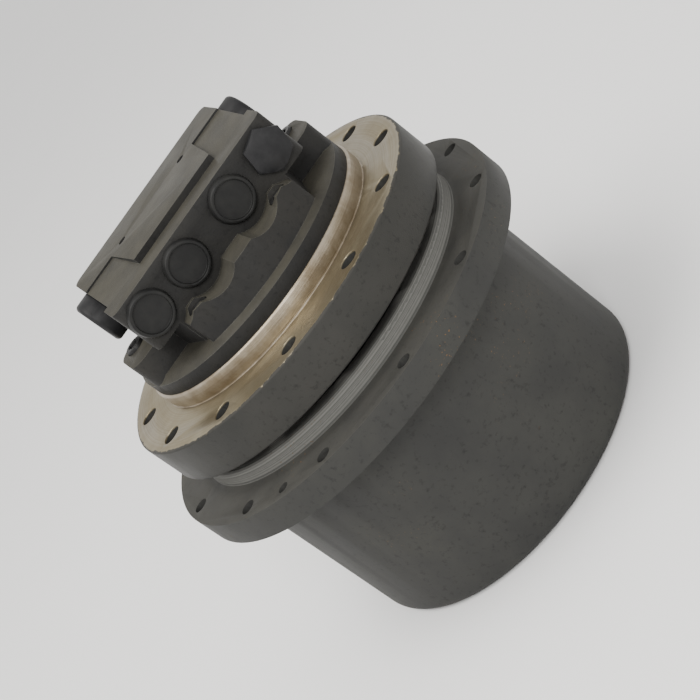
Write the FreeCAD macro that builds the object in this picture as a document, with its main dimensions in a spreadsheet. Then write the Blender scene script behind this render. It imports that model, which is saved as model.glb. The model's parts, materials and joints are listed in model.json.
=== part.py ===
"""Excavator final drive: a travel motor and a two-stage planetary gear hub.

The drive stands on its end cover with the output axis upright (+Z) and the travel
motor on top. The frame flange and the motor stay with the track frame; the hub
casing, which carries the sprocket, turns round them. The ports look along -Y.
Lengths are in millimetres and angles in degrees.
"""
import FreeCAD, Part
import math
import os
import Sketcher
from FreeCAD import Vector

SIZES = {
    # hub casing: drum, sprocket flange and seal lip
    "drum_wall": 21.5,
    "drum_edge_round": 11,
    "sprocket_flange_width": 37.5,
    "sprocket_flange_thickness": 27.6,
    "sprocket_bolt_edge": 12.5,
    "sprocket_bolt_count": 12,
    "sprocket_hole_radius": 7,
    "jacking_hole_count": 2,
    "jacking_hole_radius": 5.1,
    "lip_inset": 0.5,
    "lip_height": 16.5,
    "lip_round": 4,
    "lip_step": 5,
    "lip_step_height": 2,
    # end cover
    "cover_step": 7,
    "cover_edge_thickness": 12,
    "cover_depth": 20,
    "cover_dish_edge": 29,
    "cover_dish_depth": 5,
    "cover_face_step": 9,
    "retaining_ring_width": 7,
    "retaining_ring_thickness": 3.5,
    "retaining_groove_depth": 3.5,
    "cover_seal_width": 4,
    "cover_seal_depth": 3,
    "oil_plug_count": 3,
    "oil_plug_edge": 46,
    "oil_plug_radius": 10,
    "oil_plug_head_radius": 14,
    "oil_plug_head_thickness": 4,
    "oil_plug_recess": 1,
    "oil_plug_seat_gap": 0.5,
    "oil_plug_key_radius": 6.5,
    "oil_plug_key_depth": 5,
    "thrust_pad_radius": 14,
    # gear set
    "gear_module": 4,
    "addendum_share": 1,
    "dedendum_share": 1.25,
    "pressure_angle": 25,
    "backlash": 0.3,
    "ring_teeth": 60,
    "ring_wall": 9,
    "ring_overhang": 5,
    "sun_teeth_1": 12,
    "planet_teeth_1": 24,
    "sun_teeth_2": 18,
    "planet_teeth_2": 21,
    "planet_count": 3,
    "planet_width_1": 26,
    "planet_width_2": 36,
    "bush_thickness": 5,
    "pin_radius_1": 14,
    "pin_radius_2": 15,
    "pin_head_width": 5,
    "pin_head_thickness": 3,
    "pin_head_gap": 2,
    "running_gap": 0.05,
    "side_gap": 0.5,
    "carrier_thickness": 14,
    "carrier_edge": 8,
    "carrier_window_radius": 13,
    "carrier_gap": 2.5,
    "support_thickness": 12,
    "support_edge": 7,
    "post_circle": 82,
    "post_radius": 15,
    "post_screw_radius": 6,
    "post_screw_head_radius": 9,
    "post_screw_head_height": 8,
    "post_screw_clearance": 0.5,
    "post_screw_grip": 20,
    "support_bore_gap": 4,
    "shank_undercut": 0.5,
    "pin_seat_depth": 24,
    "sun_shaft_radius": 15,
    "sun_bore_clearance": 3.5,
    "sun_shaft_grip": 28,
    # main bearings, nut and face seal
    "bearing_seat_step": 9,
    "bearing_section": 25,
    "nut_space": 14,
    "bearing_width": 24,
    "bearing_spread": 20,
    "bearing_drop": 6,
    "bearing_shoulder": 6,
    "taper_angle": 12,
    "roller_count": 16,
    "roller_length": 17,
    "roller_share": 0.216,
    "roller_end_ratio": 0.87,
    "raceway_gap": 0.1,
    "raceway_shift": 1,
    "rib_gap": 0.4,
    "rib_height": 4,
    "thread_step": 2,
    "nut_inset": 0.7,
    "nut_thickness": 11,
    "nut_slot_count": 6,
    "nut_slot_width": 12,
    "nut_slot_depth": 6,
    "shoulder_step": 9,
    "neck_gap": 5,
    "neck_taper_height": 8,
    "lip_wall": 19,
    "seal_seat_gap": 6,
    "seal_ring_width": 16,
    "seal_face_width": 4,
    "seal_height": 16,
    "seal_ramp_step": 6,
    "seal_ramp_rise": 3,
    "toric_start": 9,
    "toric_end": 14,
    "toric_bulge": 2,
    "seal_seat_taper": 3.5,
    "seal_floor_gap": 3,
    # spindle
    "frame_gap": 29,
    "frame_bolt_edge": 18,
    "frame_flange_thickness": 42,
    "frame_flange_chamfer": 1.5,
    "frame_bolt_step": 26,
    "frame_bolt_count": 12,
    "frame_hole_radius": 8.75,
    "pilot_step": 2,
    "pilot_height": 17,
    "pilot_chamfer": 1.5,
    "pilot_relief_width": 2.5,
    "pilot_relief_depth": 1.2,
    "brake_bore_step": 12,
    "brake_bore_depth": 58,
    "motor_wall": 22,
    "front_wall": 24,
    "end_bore_step": 8,
    # travel motor
    "motor_shaft_radius": 20,
    "motor_shaft_overhang": 2,
    "shaft_bearing_section": 16,
    "shaft_bearing_width": 16,
    "shaft_bearing_ring": 5,
    "shaft_bearing_shield": 1.5,
    "shaft_seal_step": 4,
    "shaft_seal_width": 7,
    "shaft_end_gap": 1,
    "block_gap": 26,
    "block_height": 56,
    "piston_count": 9,
    "piston_edge": 16,
    "piston_radius": 8.2,
    "piston_length": 34,
    "piston_gap": 0.05,
    "piston_bore_depth": 46,
    "piston_recess": 5,
    "piston_neck_radius": 4.5,
    "shoe_radius": 10.5,
    "shoe_thickness": 5,
    "shoe_gap": 1,
    "shoe_socket_depth": 3,
    "swash_gap": 24,
    "swash_clearance": 0.94,
    "swash_thickness": 9,
    "swash_bore_radius": 25,
    "swash_angle": 14,
    "swash_pivot_height": 32,
    "cradle_radius": 27,
    "cradle_inner_half": 32,
    "cradle_outer_half": 50,
    "cradle_half_width": 28,
    "cradle_height": 15,
    "valve_plate_edge": 2,
    "valve_plate_gap": 0.5,
    "valve_plate_thickness": 6,
    "kidney_width": 9,
    "kidney_sweep": 130,
    "brake_disc_gap": 6,
    "brake_disc_thickness": 4,
    "brake_plate_thickness": 3,
    "brake_plate_bore_gap": 4,
    "brake_plate_gap": 0.1,
    "brake_piston_bore_gap": 10,
    "brake_piston_height": 26,
    "flange_seal_width": 4,
    "flange_seal_depth": 3,
    # motor rear flange
    "disc_edge": 20,
    "disc_height": 17,
    "disc_chamfer": 4,
    "disc_chamfer_width": 8,
    "spigot_depth": 8,
    "rear_bearing_depth": 14,
    "neck_height": 26,
    "neck_front_half": 72,
    "lug_root": 4,
    "neck_side_half": 92,
    "port_block_height": 53,
    "port_face": 79.5,
    "bar_half": 100,
    "bar_depth": 35,
    "block_half": 95,
    "block_rear": 71,
    "block_round": 8,
    "ledge_depth": 31,
    "ledge_drop": 6,
    "strip_front": 22,
    "pocket_drop": 2,
    "pad_front_half": 52,
    "pad_rear_half": 58,
    "lifting_hole_radius": 4.25,
    "lifting_hole_depth": 15,
    "lifting_hole_half": 42,
    "lifting_hole_y": 24,
    "shelf_half": 70,
    "shelf_height": 30,
    "scallop_radius": 28,
    "lug_height": 23,
    "lug_front": 42,
    "lug_back": 16,
    "lug_inset": 3,
    "lug_round": 16,
    "rear_lug_radius": 19,
    "rear_screw_step": 18,
    "rear_screw_count": 6,
    "rear_screw_radius": 6,
    "rear_screw_clearance": 0.75,
    "rear_screw_head_radius": 9,
    "rear_screw_head_height": 12,
    "rear_screw_seat": 14,
    "rear_screw_grip": 28,
    "screw_recess_gap": 0.8,
    "socket_key_share": 0.62,
    "socket_depth_share": 0.45,
    # ports and spool
    "port_height": 50,
    "inner_port_half": 31,
    "outer_port_half": 79.5,
    "port_bore_radius": 12.2,
    "port_bore_depth": 26,
    "cap_radius": 20.5,
    "cap_front_radius": 18.6,
    "cap_height": 6,
    "cap_dish_radius": 16,
    "cap_dish_depth": 3.5,
    "cap_stem_length": 14,
    "cap_stem_bore": 9,
    "plug_across_flats": 36,
    "plug_head_height": 6,
    "plug_turn": 14,
    "plug_stem_length": 18,
    "spool_y": 33,
    "spool_height": 52,
    "spool_radius": 11,
    "spool_travel": 6,
    "spool_land_gap": 0.03,
    "spool_groove_depth": 4.4,
    "spool_cap_radius": 23,
    "spool_cap_stem_radius": 17,
    "spool_cap_stem_length": 14,
    "spool_cap_reach": 17,
    "spool_cap_round": 4,
    "spool_cap_key_radius": 8,
    "spool_cap_key_depth": 7,
}

doc = FreeCAD.newDocument("FinalDrive")
sheet = doc.addObject("Spreadsheet::Sheet", "Sizes")
for row, (alias, number) in enumerate(SIZES.items(), 1):
    sheet.set(f"A{row}", alias)
    sheet.set(f"B{row}", str(number))
    sheet.setAlias(f"B{row}", alias)
doc.recompute()


class Size:
    """A number from the sheet, kept together with the formula that gives it."""

    def __init__(self, value, formula):
        self.value = float(value)
        self.formula = formula

    def joined(self, other, sign, value):
        return Size(value, f"({self.formula} {sign} {size(other).formula})")

    def __add__(self, other):
        return self.joined(other, "+", self.value + size(other).value)

    def __sub__(self, other):
        return self.joined(other, "-", self.value - size(other).value)

    def __mul__(self, other):
        return self.joined(other, "*", self.value * size(other).value)

    def __truediv__(self, other):
        return self.joined(other, "/", self.value / size(other).value)

    def __rsub__(self, other):
        return size(other) - self

    __radd__ = __add__
    __rmul__ = __mul__

    def __neg__(self):
        return Size(-self.value, f"(0 - {self.formula})")

    def __float__(self):
        return self.value


def size(number):
    """A Size from a Size or a plain number."""
    return number if isinstance(number, Size) else Size(number, repr(number))


def sine(angle):
    return Size(math.sin(math.radians(angle.value)), f"sin({angle.formula} * 1 deg)")


def cosine(angle):
    return Size(math.cos(math.radians(angle.value)), f"cos({angle.formula} * 1 deg)")


class Sheet:
    """Reads a size from the sheet by its alias."""

    def __getattr__(self, alias):
        return Size(sheet.get(alias), f"Sizes.{alias}")


S = Sheet()
PAST = 5.0  # how far a cut or a blank runs past the face that it opens or is trimmed to


# ---------------------------------------------------------------- building helpers

def origin_item(body, role):
    return next(item for item in body.Origin.OriginFeatures if item.Role == role)


def new_body(label):
    body = doc.addObject("PartDesign::Body", label)
    body.Label = label
    return body


def sketch_on(body, name, role, offset=0):
    """A sketch on an origin plane of the body, moved along the plane's normal."""
    sketch = body.newObject("Sketcher::SketchObject", name)
    sketch.AttachmentSupport = [(origin_item(body, role), "")]
    sketch.MapMode = "FlatFace"
    sketch.setExpression("AttachmentOffset.Base.z", size(offset).formula)
    return sketch


def hold_point(sketch, geometry, end, across, up):
    """Fixes one point of a sketch at two sizes measured from the sketch's origin."""
    for kind, length, axis in (("DistanceX", across, -2), ("DistanceY", up, -1)):
        if length.value == 0:
            sketch.addConstraint(Sketcher.Constraint("PointOnObject", geometry, end, axis))
            continue
        index = sketch.addConstraint(Sketcher.Constraint(kind, -1, 1, geometry, end, length.value))
        sketch.setExpression(f"Constraints[{index}]", length.formula)


def outline(sketch, corners):
    """Closed outline through (across, up) corners; a third entry rounds a square corner."""
    stops = []
    count = len(corners)
    for index, corner in enumerate(corners):
        across, up = size(corner[0]), size(corner[1])
        if len(corner) == 2:
            stops.append((across, up, None))
            continue
        radius = size(corner[2])
        square = (radius, (across, up))
        for neighbour in (corners[index - 1], corners[(index + 1) % count]):
            step_x = size(neighbour[0]).value - across.value
            step_y = size(neighbour[1]).value - up.value
            if abs(step_x) > abs(step_y):
                place = (across + radius * math.copysign(1, step_x), up)
            else:
                place = (across, up + radius * math.copysign(1, step_y))
            stops.append((*place, square))
    lines = []
    total = len(stops)
    for index in range(total):
        here, there = stops[index], stops[(index + 1) % total]
        start = Vector(here[0].value, here[1].value, 0)
        end = Vector(there[0].value, there[1].value, 0)
        arc = here[2] is not None and here[2] is there[2]
        if arc:
            corner = Vector(here[2][1][0].value, here[2][1][1].value, 0)
            centre = start + end - corner
            middle = centre + (corner - centre).normalize() * here[2][0].value
            shape = Part.Arc(start, middle, end)
            number = sketch.addGeometry(shape, False)
            turn = (start - centre).cross(end - centre).z
            lines.append((number, 1 if turn > 0 else 2, 2 if turn > 0 else 1))
            limit = sketch.addConstraint(Sketcher.Constraint("Radius", number, here[2][0].value))
            sketch.setExpression(f"Constraints[{limit}]", here[2][0].formula)
        else:
            number = sketch.addGeometry(Part.LineSegment(start, end), False)
            lines.append((number, 1, 2))
    for index in range(total):
        number, start_end, far_end = lines[index]
        next_number, next_start, _ = lines[(index + 1) % total]
        sketch.addConstraint(Sketcher.Constraint("Coincident", number, far_end, next_number, next_start))
        hold_point(sketch, number, start_end, stops[index][0], stops[index][1])


def circle_at(sketch, across, up, radius):
    number = sketch.addGeometry(Part.Circle(Vector(float(across), float(up), 0), Vector(0, 0, 1),
                                            float(radius)), False)
    limit = sketch.addConstraint(Sketcher.Constraint("Radius", number, float(radius)))
    sketch.setExpression(f"Constraints[{limit}]", size(radius).formula)
    hold_point(sketch, number, 3, size(across), size(up))


def turned(body, name, corners, cut=False):
    """Turns a profile of (radius, height) corners about the body's Z axis."""
    sketch = sketch_on(body, name + "_profile", "XZ_Plane")
    outline(sketch, corners)
    feature = body.newObject("PartDesign::Groove" if cut else "PartDesign::Revolution", name)
    feature.Profile = sketch
    feature.ReferenceAxis = (origin_item(body, "Z_Axis"), [""])
    feature.Angle = 360
    return feature


def turned_body(label, corners):
    body = new_body(label)
    turned(body, label + "_turning", corners)
    return body


def padded(body, name, role, offset, length, draw, cut=False, reverse=False):
    """Pads or pockets what draw() puts in a sketch on an origin plane."""
    sketch = sketch_on(body, name + "_sketch", role, offset)
    draw(sketch)
    feature = body.newObject("PartDesign::Pocket" if cut else "PartDesign::Pad", name)
    feature.Profile = sketch
    feature.setExpression("Length", size(length).formula)
    feature.Reversed = reverse
    return feature


def repeated(body, feature, count, name):
    """Repeats a feature evenly round the body's Z axis."""
    pattern = body.newObject("PartDesign::PolarPattern", name)
    pattern.Originals = [feature]
    pattern.Axis = (origin_item(body, "Z_Axis"), [""])
    pattern.Angle = 360
    pattern.setExpression("Occurrences", count.formula)
    body.Tip = pattern
    return pattern


def half_pitch(count):
    """Degrees from one of a ring of evenly spaced items to the middle of the gap beside it."""
    return 180.0 / count.value


def drilled_ring(body, name, circle, radius, top, depth, count, start=0.0):
    """Drills evenly spaced holes down from the height top."""
    place_x = circle * math.cos(math.radians(start))
    place_y = circle * math.sin(math.radians(start))
    if abs(place_y.value) < 1e-9:
        place_y = size(0)
    if abs(place_x.value) < 1e-9:
        place_x = size(0)
    hole = padded(body, name, "XY_Plane", top, depth,
                  lambda sketch: circle_at(sketch, place_x, place_y, radius), cut=True)
    if count is not None:
        repeated(body, hole, count, name + "_ring")
    return hole


def stored(label, shape):
    """Keeps a shape made in code as a sub-part, where it was made."""
    feature = doc.addObject("Part::Feature", label)
    feature.Label = label
    place = shape.Placement
    feature.Shape = shape
    feature.Placement = place
    return feature


def ring_places(count, radius, start=0.0):
    """Points and angles evenly spaced on a circle about the Z axis."""
    places = []
    for index in range(int(count)):
        angle = start + 360.0 * index / count
        turn = math.radians(angle)
        places.append((Vector(radius * math.cos(turn), radius * math.sin(turn), 0), angle))
    return places


def around(shape, places, height=0.0):
    """Copies of a shape moved to the places, turned to face outwards."""
    copies = []
    for point, angle in places:
        copy = shape.copy()
        copy.Placement = FreeCAD.Placement(point + Vector(0, 0, height),
                                           FreeCAD.Rotation(Vector(0, 0, 1), angle)).multiply(shape.Placement)
        copies.append(copy)
    return Part.makeCompound(copies)


def tube(outer, inner, bottom, top):
    solid = Part.makeCylinder(outer, top - bottom, Vector(0, 0, bottom))
    return solid.cut(Part.makeCylinder(inner, top - bottom, Vector(0, 0, bottom))) if inner else solid


def hexagon_prism(radius, bottom, top, turn=0.0):
    corners = [Vector(radius * math.cos(math.radians(turn + 60 * step)),
                      radius * math.sin(math.radians(turn + 60 * step)), bottom) for step in range(7)]
    return Part.Face(Part.makePolygon(corners)).extrude(Vector(0, 0, top - bottom))


def cap_screw(head_radius, head_height, shank_radius, shank_length):
    """Socket-head cap screw along Z, its head's underside at the origin, head up."""
    head = Part.makeCylinder(head_radius, head_height)
    shank = Part.makeCylinder(shank_radius, shank_length, Vector(0, 0, -shank_length))
    floor = head_height * S.socket_depth_share.value
    socket = hexagon_prism(head_radius * S.socket_key_share.value, floor, head_height)
    return head.fuse(shank).cut(socket).removeSplitter()


# ---------------------------------------------------------------- radii, from the gear set outwards

ring_outer = S.gear_module * (S.ring_teeth / 2 + S.dedendum_share) + S.ring_wall
distance_1 = S.gear_module * (S.sun_teeth_1 + S.planet_teeth_1) / 2
distance_2 = S.gear_module * (S.sun_teeth_2 + S.planet_teeth_2) / 2
carrier_radius = distance_1 + S.pin_radius_1 + S.carrier_edge
support_radius = distance_2 + S.pin_radius_2 + S.support_edge

cover_radius = ring_outer + S.cover_step
cover_face_radius = cover_radius - S.cover_face_step
cover_dish_radius = cover_radius - S.cover_dish_edge
oil_plug_circle = cover_radius - S.oil_plug_edge
drum_radius = cover_radius + S.drum_wall
sprocket_flange_radius = drum_radius + S.sprocket_flange_width
sprocket_bolt_circle = sprocket_flange_radius - S.sprocket_bolt_edge

lip_radius = drum_radius - S.lip_inset
seal_seat_radius = lip_radius - S.lip_wall
seal_outer_radius = seal_seat_radius - S.seal_seat_gap
seal_inner_radius = seal_outer_radius - S.seal_ring_width
neck_radius = seal_inner_radius - S.neck_gap

bearing_outer_radius = ring_outer - S.bearing_seat_step
journal_radius = bearing_outer_radius - S.bearing_section
roller_large_radius = S.bearing_section * S.roller_share
roller_small_radius = roller_large_radius * S.roller_end_ratio
shoulder_radius = journal_radius + S.shoulder_step
thread_radius = journal_radius - S.thread_step

motor_bore_radius = journal_radius - S.motor_wall
brake_bore_radius = motor_bore_radius + S.brake_bore_step
rear_screw_circle = brake_bore_radius + S.rear_screw_step
disc_radius = rear_screw_circle + S.disc_edge
pilot_radius = disc_radius + S.pilot_step
frame_bolt_circle = pilot_radius + S.frame_bolt_step
frame_flange_radius = frame_bolt_circle + S.frame_bolt_edge

shaft_bearing_radius = S.motor_shaft_radius + S.shaft_bearing_section
shaft_seal_radius = shaft_bearing_radius - S.shaft_seal_step
end_bore_radius = shaft_bearing_radius + S.end_bore_step
block_radius = motor_bore_radius - S.block_gap
piston_circle = block_radius - S.piston_edge
valve_plate_radius = block_radius - S.valve_plate_edge
swash_radius = motor_bore_radius - S.swash_gap
brake_disc_radius = brake_bore_radius - S.brake_disc_gap
brake_plate_bore = block_radius + S.brake_plate_bore_gap
brake_piston_bore = block_radius + S.brake_piston_bore_gap


# ---------------------------------------------------------------- heights along the axis

cover_top = S.cover_depth
stage_1_bottom = cover_top + S.pin_head_gap + S.pin_head_thickness + S.side_gap
stage_1_top = stage_1_bottom + S.planet_width_1
carrier_bottom = stage_1_top + S.side_gap
carrier_top = carrier_bottom + S.carrier_thickness
support_bottom = carrier_top + S.carrier_gap
support_top = support_bottom + S.support_thickness
stage_2_bottom = support_top + S.side_gap
stage_2_top = stage_2_bottom + S.planet_width_2
spindle_end = stage_2_top + S.side_gap
ring_top = stage_2_top + S.ring_overhang

lower_bearing_bottom = ring_top + S.nut_space
nut_bottom = lower_bearing_bottom - S.nut_thickness
lower_bearing_top = lower_bearing_bottom + S.bearing_width
upper_bearing_bottom = lower_bearing_top + S.bearing_spread
upper_bearing_top = upper_bearing_bottom + S.bearing_width
casing_height = upper_bearing_top + S.bearing_drop

frame_under = casing_height + S.frame_gap
frame_face = frame_under + S.frame_flange_thickness
pilot_top = frame_face + S.pilot_height
lip_top = casing_height + S.lip_height
seal_middle = (lip_top + frame_under) / 2

spigot_bottom = pilot_top - S.spigot_depth
rear_bearing_top = pilot_top + S.rear_bearing_depth
block_seat = spigot_bottom - S.valve_plate_thickness
cylinder_bottom = block_seat - S.block_height
shoe_bottom = cylinder_bottom - S.shoe_gap - S.shoe_thickness
swash_pivot = shoe_bottom - swash_radius * sine(S.swash_angle) - S.swash_clearance
motor_floor = swash_pivot - S.swash_pivot_height
front_wall_bottom = motor_floor - S.front_wall
shaft_bottom = front_wall_bottom - S.motor_shaft_overhang
brake_shoulder = pilot_top - S.brake_bore_depth

disc_top = pilot_top + S.disc_height
block_bottom = disc_top + S.neck_height
block_top = block_bottom + S.port_block_height
port_z = disc_top + S.port_height
spool_z = disc_top + S.spool_height


# ---------------------------------------------------------------- gears

def involute(angle):
    return math.tan(angle) - angle


def tooth_half_angle(teeth, radius, thinning, external):
    """Half of a tooth's (or an internal gear's space's) angle at a radius."""
    module = S.gear_module.value
    pressure = math.radians(S.pressure_angle.value)
    pitch = module * teeth / 2
    base = pitch * math.cos(pressure)
    at_pitch = (math.pi * module / 2 - thinning) / (2 * pitch)
    if not external:
        at_pitch = (math.pi * module / 2 + thinning) / (2 * pitch)
    at_radius = math.acos(base / radius) if radius > base else 0.0
    return at_pitch + involute(pressure) - involute(at_radius)


def gear_wire(teeth, flank_radii, external, first_tooth):
    """Outline of a gear; a flank runs through its radii, from the root side outwards."""
    thinning = S.backlash.value / 2
    points = []
    for index in range(int(teeth)):
        middle = first_tooth + 2 * math.pi * index / teeth
        side = [(radius, tooth_half_angle(teeth, radius, thinning, external)) for radius in flank_radii]
        for radius, half in side:
            points.append((radius, middle - half))
        for radius, half in reversed(side):
            points.append((radius, middle + half))
    corners = [Vector(radius * math.cos(turn), radius * math.sin(turn), 0) for radius, turn in points]
    return Part.makePolygon(corners + corners[:1])


def external_gear(teeth, bottom, top, first_tooth=0.0):
    """Spur gear with a tooth centred at the angle first_tooth."""
    module = S.gear_module.value
    pitch = module * teeth / 2
    addendum, dedendum = S.addendum_share.value * module, S.dedendum_share.value * module
    radii = [pitch - dedendum, pitch, pitch + addendum]
    wire = gear_wire(teeth, radii, True, first_tooth)
    wire.translate(Vector(0, 0, bottom))
    return Part.Face(wire).extrude(Vector(0, 0, top - bottom))


def internal_gear(teeth, wall, bottom, top):
    """Ring gear with a tooth space centred at angle zero."""
    module = S.gear_module.value
    pitch = module * teeth / 2
    addendum, dedendum = S.addendum_share.value * module, S.dedendum_share.value * module
    wire = gear_wire(teeth, [pitch - addendum, pitch, pitch + dedendum], False, 0.0)
    wire.translate(Vector(0, 0, bottom))
    blank = Part.makeCylinder(pitch + dedendum + wall, top - bottom, Vector(0, 0, bottom))
    return blank.cut(Part.Face(wire).extrude(Vector(0, 0, top - bottom)))


# ---------------------------------------------------------------- hub side

def make_hub_casing():
    """Drum, sprocket flange and seal lip in one casting, bored for ring gear and bearings."""
    flange_under = casing_height - S.sprocket_flange_thickness
    seat = seal_seat_radius
    seat_floor = seal_middle - S.seal_height - S.seal_floor_gap
    groove_low = S.cover_depth - S.cover_edge_thickness - S.retaining_ring_thickness
    groove_high = S.cover_depth - S.cover_edge_thickness
    body = new_body("hub_casing")
    turned(body, "casing_turning", [
        (cover_radius, 0),
        (drum_radius, 0, S.drum_edge_round),
        (drum_radius, flange_under),
        (sprocket_flange_radius, flange_under),
        (sprocket_flange_radius, casing_height),
        (lip_radius + S.lip_step, casing_height),
        (lip_radius, casing_height + S.lip_step_height),
        (lip_radius, lip_top, S.lip_round),
        (seat, lip_top),
        (seat - S.seal_seat_taper, seat_floor),
        (bearing_outer_radius, seat_floor),
        (bearing_outer_radius, upper_bearing_bottom),
        (bearing_outer_radius - S.bearing_shoulder, upper_bearing_bottom),
        (bearing_outer_radius - S.bearing_shoulder, lower_bearing_top),
        (bearing_outer_radius, lower_bearing_top),
        (bearing_outer_radius, ring_top),
        (ring_outer, ring_top),
        (ring_outer, cover_top),
        (cover_radius, cover_top),
        (cover_radius, groove_high),
        (cover_radius + S.retaining_groove_depth, groove_high),
        (cover_radius + S.retaining_groove_depth, groove_low),
        (cover_radius, groove_low),
    ])
    drilled_ring(body, "sprocket_hole", sprocket_bolt_circle, S.sprocket_hole_radius,
                 casing_height, S.sprocket_flange_thickness, S.sprocket_bolt_count)
    drilled_ring(body, "jacking_hole", sprocket_bolt_circle, S.jacking_hole_radius,
                 casing_height, S.sprocket_flange_thickness, S.jacking_hole_count,
                 start=3 * half_pitch(S.sprocket_bolt_count))
    return body


def make_end_cover():
    """Cover in the end of the drum, its face level with the rim."""
    edge_low = S.cover_depth - S.cover_edge_thickness
    seal_low = edge_low + (S.cover_edge_thickness - S.cover_seal_width) / 2
    seal_high = seal_low + S.cover_seal_width
    body = new_body("end_cover")
    turned(body, "cover_turning", [
        (0, 0),
        (cover_face_radius, 0),
        (cover_face_radius, edge_low),
        (cover_radius, edge_low),
        (cover_radius, seal_low),
        (cover_radius - S.cover_seal_depth, seal_low),
        (cover_radius - S.cover_seal_depth, seal_high),
        (cover_radius, seal_high),
        (cover_radius, cover_top),
        (cover_dish_radius, cover_top),
        (cover_dish_radius, cover_top - S.cover_dish_depth),
        (0, cover_top - S.cover_dish_depth),
    ])
    recess = S.oil_plug_recess + S.oil_plug_head_thickness
    bore = padded(body, "plug_bore", "XY_Plane", 0, cover_top,
                  lambda sketch: circle_at(sketch, 0, -oil_plug_circle, S.oil_plug_radius),
                  cut=True, reverse=True)
    repeated(body, bore, S.oil_plug_count, "plug_bores")
    seat = padded(body, "plug_seat", "XY_Plane", 0, recess,
                  lambda sketch: circle_at(sketch, 0, -oil_plug_circle,
                                           S.oil_plug_head_radius + S.oil_plug_seat_gap),
                  cut=True, reverse=True)
    repeated(body, seat, S.oil_plug_count, "plug_seats")
    return body


def make_cover_pieces():
    edge_low = S.cover_depth - S.cover_edge_thickness
    ring_low = edge_low - S.retaining_ring_thickness
    ring_far = cover_radius + S.retaining_groove_depth
    turned_body("cover_retaining_ring", [
        (ring_far - S.retaining_ring_width, ring_low),
        (ring_far, ring_low),
        (ring_far, edge_low),
        (ring_far - S.retaining_ring_width, edge_low),
    ])
    seal_low = edge_low + (S.cover_edge_thickness - S.cover_seal_width) / 2
    turned_body("cover_seal_ring", [
        (cover_radius - S.cover_seal_depth, seal_low),
        (cover_radius, seal_low),
        (cover_radius, seal_low + S.cover_seal_width),
        (cover_radius - S.cover_seal_depth, seal_low + S.cover_seal_width),
    ])
    head_low = S.oil_plug_recess.value
    head_high = head_low + S.oil_plug_head_thickness.value
    plug = Part.makeCylinder(S.oil_plug_head_radius.value, head_high - head_low, Vector(0, 0, head_low))
    stem_top = (cover_top - S.cover_dish_depth).value
    plug = plug.fuse(Part.makeCylinder(S.oil_plug_radius.value, stem_top - head_high, Vector(0, 0, head_high)))
    key = hexagon_prism(S.oil_plug_key_radius.value, head_low, head_low + S.oil_plug_key_depth.value)
    places = ring_places(S.oil_plug_count.value, oil_plug_circle.value, -90.0)
    stored("oil_plugs", around(plug.cut(key), places))
    pad_low = cover_top - S.cover_dish_depth
    turned_body("thrust_pad", [
        (0, pad_low),
        (S.thrust_pad_radius, pad_low),
        (S.thrust_pad_radius, cover_top),
        (0, cover_top),
    ])


raceway_middle = (journal_radius + bearing_outer_radius) / 2 + S.raceway_shift
rib_place = (S.roller_length / 2 * cosine(S.taper_angle) + roller_large_radius * sine(S.taper_angle)
             + S.rib_gap)


def raceway(height, side):
    """Radius of a raceway at a height above the bearing's middle; side -1 inner, 1 outer."""
    offset = height / cosine(S.taper_angle)
    spread = (roller_large_radius - roller_small_radius) / S.roller_length
    roller = (roller_small_radius + roller_large_radius) / 2 + spread * offset
    slant = sine(S.taper_angle) * offset
    return raceway_middle + slant + side * (roller + S.raceway_gap) / cosine(S.taper_angle)


cone_rim = raceway(rib_place, -1) + S.rib_height
nut_radius = cone_rim - S.nut_inset


def make_bearing(name, bottom, tip_up):
    """Taper roller bearing; tip_up is 1 where the cone's apex points up, else -1."""
    middle = bottom + S.bearing_width / 2
    half = S.bearing_width / 2

    def place(offset):
        return middle - tip_up * offset

    turned_body(name + "_cone", [
        (journal_radius, place(-half)),
        (raceway(-half, -1), place(-half)),
        (raceway(rib_place, -1), place(rib_place)),
        (cone_rim, place(rib_place)),
        (cone_rim, place(half)),
        (journal_radius, place(half)),
    ])
    turned_body(name + "_cup", [
        (raceway(-half, 1), place(-half)),
        (bearing_outer_radius, place(-half)),
        (bearing_outer_radius, place(half)),
        (raceway(half, 1), place(half)),
    ])
    length = S.roller_length.value
    roller = Part.makeCone(roller_small_radius.value, roller_large_radius.value, length,
                           Vector(0, 0, -length / 2))
    if tip_up > 0:
        roller.rotate(Vector(), Vector(1, 0, 0), 180)
    roller.rotate(Vector(), Vector(0, 1, 0), -tip_up * S.taper_angle.value)
    places = ring_places(S.roller_count.value, raceway_middle.value, half_pitch(S.roller_count))
    stored(name + "_rollers", around(roller, places, middle.value))


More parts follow.
